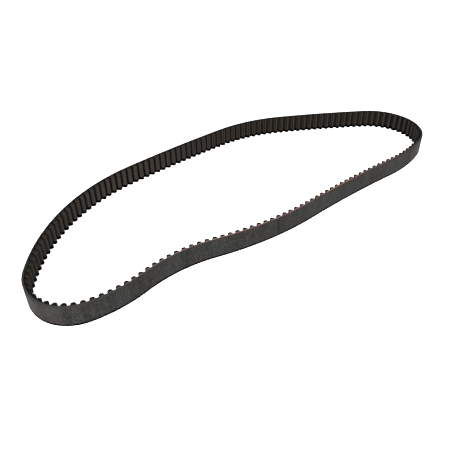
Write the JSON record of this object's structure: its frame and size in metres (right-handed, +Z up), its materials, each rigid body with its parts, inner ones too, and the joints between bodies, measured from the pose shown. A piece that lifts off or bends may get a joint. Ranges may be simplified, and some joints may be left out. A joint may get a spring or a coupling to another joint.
{
  "type": "timing belt",
  "caption": "Endless moulded timing belt with rounded teeth on the inside, cord-reinforced, lying free on its cut edge in a long curved loop.",
  "frame": {"origin": "on the resting surface, under the middle of the loop's bounding box", "axes": "+Z up across the belt's width, +X along the loop's long side, +Y across the loop, away from the side that bends inwards"},
  "size_m": [0.5252, 0.1921, 0.022],
  "materials": {
    "back_rubber": "matt ground rubber",
    "tooth_rubber": "cut rubber",
    "facing_fabric": "dark woven nylon",
    "cord": "treated glass-fibre yarn"
  },
  "bodies": {
    "root": {"backing": "back_rubber", "tensile_cord_s": "cord", "tensile_cord_z": "cord", "tooth_rubber": "tooth_rubber", "facing_fabric": "facing_fabric"}
  },
  "joints": []
}
